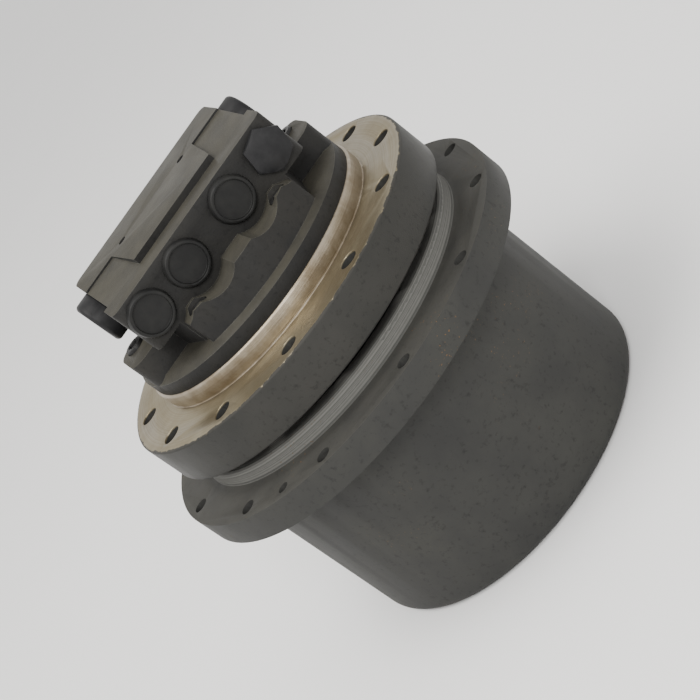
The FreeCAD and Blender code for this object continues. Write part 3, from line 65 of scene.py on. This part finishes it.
def make_camera():
    """Stands left of the ports and above, rolled so that the drive lies across the picture."""
    stand = Vector((-0.10725, -1.47109, 0.74054))
    azimuth, elevation, roll = math.radians(-4.0), math.radians(20.829), math.radians(53.674)
    back = Vector((math.sin(azimuth) * math.cos(elevation), -math.cos(azimuth) * math.cos(elevation),
                   math.sin(elevation)))
    right = Vector((math.cos(azimuth), math.sin(azimuth), 0))
    up = back.cross(right)
    across = right * math.cos(roll) - up * math.sin(roll)
    along = right * math.sin(roll) + up * math.cos(roll)
    data = bpy.data.cameras.new("camera")
    data.lens = 93.5
    data.sensor_width = 36.0
    data.clip_end = 50.0
    camera = bpy.data.objects.new("camera", data)
    bpy.context.scene.collection.objects.link(camera)
    turn = Matrix((across, along, back)).transposed().to_4x4()
    camera.matrix_world = Matrix.Translation(stand) @ turn
    bpy.context.scene.camera = camera


# ---------------------------------------------------------------- material building blocks

def shade(*rgb):
    return (*rgb, 1.0)


class Nodes:
    """Short calls for building one material's node tree."""

    def __init__(self, name):
        self.material = bpy.data.materials.new(name)
        self.material.use_nodes = True
        self.tree = self.material.node_tree
        self.shader = self.tree.nodes["Principled BSDF"]
        self.place = self.add("ShaderNodeTexCoord").outputs["Object"]

    def add(self, kind, **settings):
        node = self.tree.nodes.new(kind)
        for key, value in settings.items():
            setattr(node, key, value)
        return node

    def feed(self, socket, value):
        if isinstance(value, bpy.types.NodeSocket):
            self.tree.links.new(value, socket)
        else:
            socket.default_value = value

    def finish(self, colour, roughness, normal=None, metallic=0.0, specular=0.5):
        """Connects the shader; a number is set on its own socket."""
        self.feed(self.shader.inputs["Base Color"], colour)
        self.feed(self.shader.inputs["Roughness"], roughness)
        self.feed(self.shader.inputs["Metallic"], metallic)
        self.shader.inputs["Specular IOR Level"].default_value = specular
        if normal is not None:
            self.feed(self.shader.inputs["Normal"], normal)
        return self.material

    def maths(self, operation, first, second=0.0, clamp=False):
        node = self.add("ShaderNodeMath", operation=operation, use_clamp=clamp)
        self.feed(node.inputs[0], first)
        self.feed(node.inputs[1], second)
        return node.outputs[0]

    def both(self, *masks):
        result = masks[0]
        for mask in masks[1:]:
            result = self.maths("MULTIPLY", result, mask)
        return result

    def noise(self, scale, detail=3.0, roughness=0.5, where=None):
        node = self.add("ShaderNodeTexNoise")
        self.feed(node.inputs["Vector"], where or self.place)
        self.feed(node.inputs["Scale"], scale)
        self.feed(node.inputs["Detail"], detail)
        self.feed(node.inputs["Roughness"], roughness)
        return node.outputs["Fac"]

    def spread(self, value, low, high, to_low=0.0, to_high=1.0):
        """Maps a range of a value to another range, held at its ends."""
        node = self.add("ShaderNodeMapRange")
        self.feed(node.inputs["Value"], value)
        ends = {"From Min": low, "From Max": high, "To Min": to_low, "To Max": to_high}
        for socket, number in ends.items():
            self.feed(node.inputs[socket], number)
        return node.outputs["Result"]

    def past(self, value, edge, band):
        """0 before an edge and 1 past it, over a short band; a negative band turns it round."""
        return self.spread(value, edge, edge + band)

    def without(self, mask):
        return self.maths("SUBTRACT", 1.0, mask)

    def blend(self, factor, first, second):
        node = self.add("ShaderNodeMix", data_type="RGBA")
        self.feed(node.inputs[0], factor)
        self.feed(node.inputs[6], first)
        self.feed(node.inputs[7], second)
        return node.outputs[2]

    def axes(self):
        """x, y, z and the distance from the Z axis of a point."""
        split = self.add("ShaderNodeSeparateXYZ")
        self.feed(split.inputs[0], self.place)
        x, y, z = split.outputs
        squares = self.maths("ADD", self.maths("MULTIPLY", x, x), self.maths("MULTIPLY", y, y))
        return x, y, z, self.maths("SQRT", squares)

    def facing_up(self):
        """How far the surface faces +Z, from -1 to 1."""
        split = self.add("ShaderNodeSeparateXYZ")
        self.feed(split.inputs[0], self.add("ShaderNodeNewGeometry").outputs["Normal"])
        return split.outputs[2]

    def rings(self, pitch, detail=2.0):
        """Noise that runs round the Z axis, as a lathe tool leaves it."""
        _, _, z, radius = self.axes()
        join = self.add("ShaderNodeCombineXYZ")
        self.feed(join.inputs[0], radius)
        self.feed(join.inputs[1], z)
        return self.noise(1.0 / pitch, detail, 0.6, join.outputs[0])

    def bump(self, height, distance, strength=1.0, under=None):
        node = self.add("ShaderNodeBump")
        self.feed(node.inputs["Strength"], strength)
        self.feed(node.inputs["Distance"], distance)
        self.feed(node.inputs["Height"], height)
        if under is not None:
            self.feed(node.inputs["Normal"], under)
        return node.outputs["Normal"]


# ---------------------------------------------------------------- materials

def paint_colour(m, dark, light, dust_and_top_light, dust_and_top_light_share):
    """Mottled satin paint, darker in its pits, with dust and painted top light where it faces up."""
    mottle = m.spread(m.noise(16.0, 4.0, 0.6), 0.35, 0.65)
    colour = m.blend(mottle, shade(*dark), shade(*light))
    pits = m.spread(m.noise(220.0, 3.0, 0.6), 0.56, 0.72, 0.0, 0.5)
    colour = m.blend(pits, colour, shade(*[part * 0.5 for part in dark]))
    # Faces turned up are lightened here: partly dust, partly painted light from above.
    level = m.spread(m.facing_up(), 0.35, 0.9)
    patches = m.spread(m.noise(28.0, 5.0, 0.65), 0.3, 0.62, 0.45, 1.0)
    share = m.maths("MULTIPLY", m.both(level, patches), dust_and_top_light_share)
    return m.blend(share, colour, shade(*dust_and_top_light)), mottle


def cast_paint(name, dark, light, dust_and_top_light, dust_and_top_light_share, roughness, grain, grain_scale):
    """Satin paint over a casting, with a sand grain and slow waves under it."""
    m = Nodes(name)
    colour, mottle = paint_colour(m, dark, light, dust_and_top_light, dust_and_top_light_share)
    waves = m.bump(m.noise(45.0, 2.0), 0.0012, 0.35)
    normal = m.bump(m.noise(grain_scale, 2.0, 0.6), grain, 0.6, waves)
    return m.finish(colour, m.spread(mottle, 0.0, 1.0, roughness - 0.05, roughness + 0.07), normal, 0.0, 0.09)


def worn_and_highlit_edge(name, paint, bare):
    """The edge of a painted casting, rubbed thin in places; its lighter colours are partly wear and partly a
    painted edge highlight.
    """
    m = Nodes(name)
    rubbed = m.spread(m.noise(70.0, 4.0, 0.7), 0.38, 0.6)
    colour = m.blend(rubbed, shade(*paint), shade(*bare))
    grain = m.bump(m.noise(500.0), 0.0002, 0.5)
    return m.finish(colour, m.spread(rubbed, 0.0, 1.0, 0.5, 0.4), grain, 0.0, 0.15)


def hub_finish():
    """Hub casing: satin paint, a turned seal lip, and a few rust specks above the drum."""
    m = Nodes("hub_paint")
    _, _, z, radius = m.axes()
    # The third colour lightens faces turned up: dust and painted top light.
    colour, mottle = paint_colour(m, (0.034, 0.034, 0.033), (0.043, 0.043, 0.040), (0.070, 0.067, 0.058),
                                  0.4)
    lathe = m.rings(0.0011)
    lip = m.both(m.past(z, CASING_TOP - 0.0002, 0.0006), m.past(radius, LIP_RADIUS + 0.0008, -0.0006))
    lip_colour = m.blend(m.spread(lathe, 0.35, 0.65), shade(0.080, 0.080, 0.075), shade(0.190, 0.188, 0.175))
    colour = m.blend(lip, colour, lip_colour)
    specks = m.both(m.spread(m.noise(420.0, 2.0, 0.7), 0.66, 0.70), m.spread(m.noise(16.0, 2.0), 0.56, 0.66),
                    m.spread(z, 0.05, 0.16))
    colour = m.blend(specks, colour, shade(0.13, 0.075, 0.035))
    roughness = m.spread(mottle, 0.0, 1.0, 0.54, 0.62)
    waves = m.bump(m.noise(30.0, 2.0), 0.0012, 0.22)
    turned = m.bump(m.maths("MULTIPLY", lathe, lip), 0.0004, 0.9, waves)
    return m.finish(colour, roughness, m.bump(m.noise(1100.0, 2.0, 0.6), 0.00012, 0.6, turned), 0.0, 0.09)


def spindle_finish():
    """Frame flange: bare turned metal on its face and pilot, paint with a ragged edge elsewhere."""
    m = Nodes("spindle_metal_and_paint")
    _, _, z, radius = m.axes()
    ragged = m.maths("MULTIPLY", m.maths("SUBTRACT", m.noise(75.0, 5.0, 0.7), 0.5), 0.009)
    edge = m.maths("ADD", radius, ragged)
    face = m.both(m.past(z, FRAME_FACE - 0.0014, 0.0008), m.past(edge, FRAME_RIM - 0.0018, -0.0008))
    inside = m.past(radius, BARE_WITHIN + 0.0005, -0.0005)
    bare = m.maths("MAXIMUM", face, inside)
    # The third colour lightens faces turned up: dust and painted top light.
    paint, mottle = paint_colour(m, (0.030, 0.030, 0.028), (0.038, 0.037, 0.034), (0.06, 0.056, 0.048), 0.4)
    lathe = m.rings(0.0009)
    stain = m.spread(m.noise(22.0, 5.0, 0.65), 0.3, 0.7)
    metal = m.blend(stain, shade(0.22, 0.185, 0.115), shade(0.33, 0.295, 0.215))
    metal = m.blend(m.spread(lathe, 0.3, 0.75, 0.0, 0.45), metal, shade(0.20, 0.155, 0.095))
    band = m.both(m.past(radius, PILOT_RADIUS + 0.0004, -0.0003), m.past(z, FRAME_FACE - 0.0005, 0.0007))
    brown = m.blend(m.spread(m.noise(30.0, 4.0, 0.7), 0.35, 0.65), shade(0.27, 0.215, 0.15),
                    shade(0.50, 0.44, 0.36))
    metal = m.blend(m.maths("MULTIPLY", band, 0.8), metal, brown)
    colour = m.blend(bare, paint, metal)
    shiny = m.spread(lathe, 0.3, 0.7, 0.32, 0.46)
    satin = m.spread(mottle, 0.0, 1.0, 0.42, 0.52)
    roughness = m.maths("ADD", m.both(bare, shiny), m.both(m.without(bare), satin))
    turned = m.bump(m.both(lathe, bare), 0.00022, 0.8)
    grain = m.bump(m.both(m.noise(1000.0, 2.0), m.without(bare)), 0.0002, 0.6, turned)
    return m.finish(colour, roughness, grain, m.maths("MULTIPLY", bare, 0.9), 0.09)


def turned_steel(name, colour, streak, roughness, pitch, metallic=1.0):
    """Steel from the lathe, with fine rings round the Z axis and faint stains."""
    m = Nodes(name)
    lathe = m.rings(pitch)
    stain = m.spread(m.noise(35.0, 4.0, 0.6), 0.35, 0.7, 0.0, 0.4)
    base = m.blend(m.spread(lathe, 0.35, 0.7, 0.0, 0.6), shade(*colour), shade(*streak))
    base = m.blend(stain, base, shade(*[part * 0.6 for part in streak]))
    rough = m.spread(lathe, 0.3, 0.7, roughness - 0.05, roughness + 0.08)
    return m.finish(base, rough, m.bump(lathe, 0.0001, 0.6), metallic)


def oiled(name, colour, dark, roughness, metallic, grain_scale, grain):
    """A plain metal or lining under a thin film of oil: clouds, fine grain and duller patches."""
    m = Nodes(name)
    cloud = m.spread(m.noise(40.0, 5.0, 0.65), 0.3, 0.7)
    base = m.blend(cloud, shade(*dark), shade(*colour))
    fine = m.noise(grain_scale, 3.0, 0.6)
    base = m.blend(m.spread(fine, 0.5, 0.75, 0.0, 0.5), base, shade(*[part * 0.7 for part in dark]))
    rough = m.spread(cloud, 0.0, 1.0, roughness + 0.08, roughness - 0.04)
    return m.finish(base, rough, m.bump(fine, grain, 0.6), metallic)


def moulded(name, dark, light, roughness, specular):
    """Moulded black plastic or rubber: fine grain and rubbed, slightly paler patches."""
    m = Nodes(name)
    rubbed = m.spread(m.noise(55.0, 4.0, 0.65), 0.42, 0.7)
    base = m.blend(rubbed, shade(*dark), shade(*light))
    rough = m.spread(rubbed, 0.0, 1.0, roughness, roughness + 0.1)
    return m.finish(base, rough, m.bump(m.noise(1500.0, 2.0), 0.00006, 0.7), 0.0, specular)


def lining():
    """Sintered brake lining with short fibres in it."""
    m = Nodes("brake_lining")
    fibres = m.spread(m.noise(700.0, 4.0, 0.8), 0.5, 0.62)
    base = m.blend(fibres, shade(0.050, 0.037, 0.027), shade(0.16, 0.11, 0.07))
    return m.finish(base, 0.8, m.bump(fibres, 0.0002, 0.8))


# ---------------------------------------------------------------- dressed copies of the CAD nodes

def put(node, material):
    """Gives a CAD node one material."""
    mesh = NODES[node].data
    mesh.materials.clear()
    mesh.materials.append(material)


def dressed(node, width, material, edge=None):
    """A copy of a CAD node with its coplanar faces joined and its edges rounded."""
    mesh = NODES[node].data.copy()
    work = bmesh.new()
    work.from_mesh(mesh)
    bmesh.ops.remove_doubles(work, verts=work.verts, dist=1e-6)
    bmesh.ops.dissolve_limit(work, angle_limit=FLAT_WITHIN, verts=work.verts, edges=work.edges)
    for face in work.faces:
        face.smooth = True
        face.material_index = 0
    work.to_mesh(mesh)
    work.free()
    mesh.materials.clear()
    mesh.materials.append(material)
    piece = bpy.data.objects.new(node + "_dressed", mesh)
    bpy.context.scene.collection.objects.link(piece)
    bevel = piece.modifiers.new("edges", "BEVEL")
    bevel.width = width
    bevel.segments = EDGE_SEGMENTS
    bevel.limit_method = "ANGLE"
    bevel.angle_limit = SHARPEST_KEPT
    bevel.harden_normals = True
    if edge is not None:
        mesh.materials.append(edge)
        bevel.material = 1
    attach(piece, BODY_OF[node])
    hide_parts(node)
    return piece


# ---------------------------------------------------------------- stage

def make_stage():
    """Wide pale floor, a soft light overhead and a smaller one in front."""
    m = Nodes("floor_paper")
    paper = m.blend(m.noise(3.0), shade(0.93, 0.93, 0.93), shade(0.96, 0.96, 0.96))
    material = m.finish(paper, 0.9, None, 0.0, 0.2)
    mesh = bpy.data.meshes.new("floor")
    reach = 12.0
    mesh.from_pydata([(-reach, -reach, 0), (reach, -reach, 0), (reach, reach, 0), (-reach, reach, 0)], [],
                     [(0, 1, 2, 3)])
    mesh.materials.append(material)
    floor = bpy.data.objects.new("floor", mesh)
    bpy.context.scene.collection.objects.link(floor)
    world = bpy.data.worlds.new("studio")
    world.use_nodes = True
    background = world.node_tree.nodes["Background"]
    background.inputs["Color"].default_value = shade(1.0, 0.99, 0.97)
    background.inputs["Strength"].default_value = 1.1
    bpy.context.scene.world = world
    aim = Vector((0, 0, 0.2))
    for name, where, watts, width, colour in (
            ("overhead", (-0.7, -0.2, 2.4), 45.0, 1.6, (1.0, 0.98, 0.94)),
            ("front", (-0.3, -2.2, 1.7), 35.0, 0.7, (1.0, 0.99, 0.97))):
        data = bpy.data.lights.new(name, "AREA")
        data.energy = watts
        data.size = width
        data.color = colour
        light = bpy.data.objects.new(name, data)
        light.location = where
        light.rotation_mode = "QUATERNION"
        light.rotation_quaternion = (aim - Vector(where)).to_track_quat("-Z", "Y")
        bpy.context.scene.collection.objects.link(light)


# ---------------------------------------------------------------- the drive

def finish_plain_nodes():
    """Materials by the record's slots, all but the paint; the small dressed pieces use some too."""
    by_slot = {
        "bearing_steel": turned_steel("ground_bearing_steel", (0.52, 0.52, 0.50), (0.36, 0.36, 0.35), 0.22,
                                      0.0006),
        "gear_steel": oiled("oiled_gear_steel", (0.30, 0.29, 0.27), (0.17, 0.16, 0.15), 0.34, 1.0, 500.0,
                            0.00008),
        "machined_casting": turned_steel("turned_iron", (0.27, 0.26, 0.24), (0.16, 0.155, 0.145), 0.38,
                                         0.0009, 0.9),
        "dark_screw": oiled("black_oxide_steel", (0.045, 0.044, 0.044), (0.022, 0.022, 0.022), 0.42, 0.6, 900.0,
                            0.00008),
        "seal_rubber": moulded("seal_rubber", (0.014, 0.014, 0.014), (0.024, 0.024, 0.023), 0.62, 0.35),
        "black_plug": moulded("black_plug_coat", (0.014, 0.014, 0.015), (0.024, 0.024, 0.025), 0.4, 0.15),
        "zinc_plug": turned_steel("zinc_plate", (0.46, 0.45, 0.42), (0.34, 0.33, 0.30), 0.36, 0.0007, 0.9),
        "bronze": oiled("bearing_bronze", (0.44, 0.29, 0.13), (0.28, 0.17, 0.075), 0.33, 1.0, 700.0, 0.00008),
        "cap_plastic": moulded("cap_plastic", (0.012, 0.012, 0.012), (0.020, 0.020, 0.019), 0.38, 0.15),
        "friction_lining": lining(),
    }
    for node, slot in SLOT_OF.items():
        if slot in by_slot:
            put(node, by_slot[slot])
    return by_slot


make_camera()
make_stage()
finishes = finish_plain_nodes()
# The third colour lightens faces turned up: dust and painted top light.
motor_paint = cast_paint("motor_paint", (0.019, 0.019, 0.019), (0.027, 0.026, 0.024),
                         (0.060, 0.056, 0.044), 0.8, 0.46, 0.0004, 620.0)
# Edge colours lighter than the casting paint: worn paint and a painted highlight along the rounded edges.
motor_edge_wear_and_highlight = worn_and_highlit_edge("motor_paint_edge_wear_and_highlight", (0.05, 0.049, 0.042), (0.14, 0.138, 0.12))
hub_edge_wear_and_highlight = worn_and_highlit_edge("hub_paint_edge_wear_and_highlight", (0.034, 0.034, 0.032), (0.055, 0.054, 0.049))
dressed("rear_flange", 0.0018, motor_paint, motor_edge_wear_and_highlight)
dressed("hub_casing", 0.0012, hub_finish(), hub_edge_wear_and_highlight)
dressed("spindle", 0.0007, spindle_finish())
dressed("end_cover", 0.001, hub_finish(), hub_edge_wear_and_highlight)
dressed("port_caps", 0.0007, finishes["cap_plastic"])
dressed("port_plug", 0.0005, finishes["black_plug"])
dressed("left_spool_cap", 0.0008, finishes["black_plug"])
dressed("right_spool_cap", 0.0008, finishes["black_plug"])
dressed("rear_flange_screws", 0.0006, finishes["dark_screw"])
dressed("oil_plugs", 0.0005, finishes["zinc_plug"])
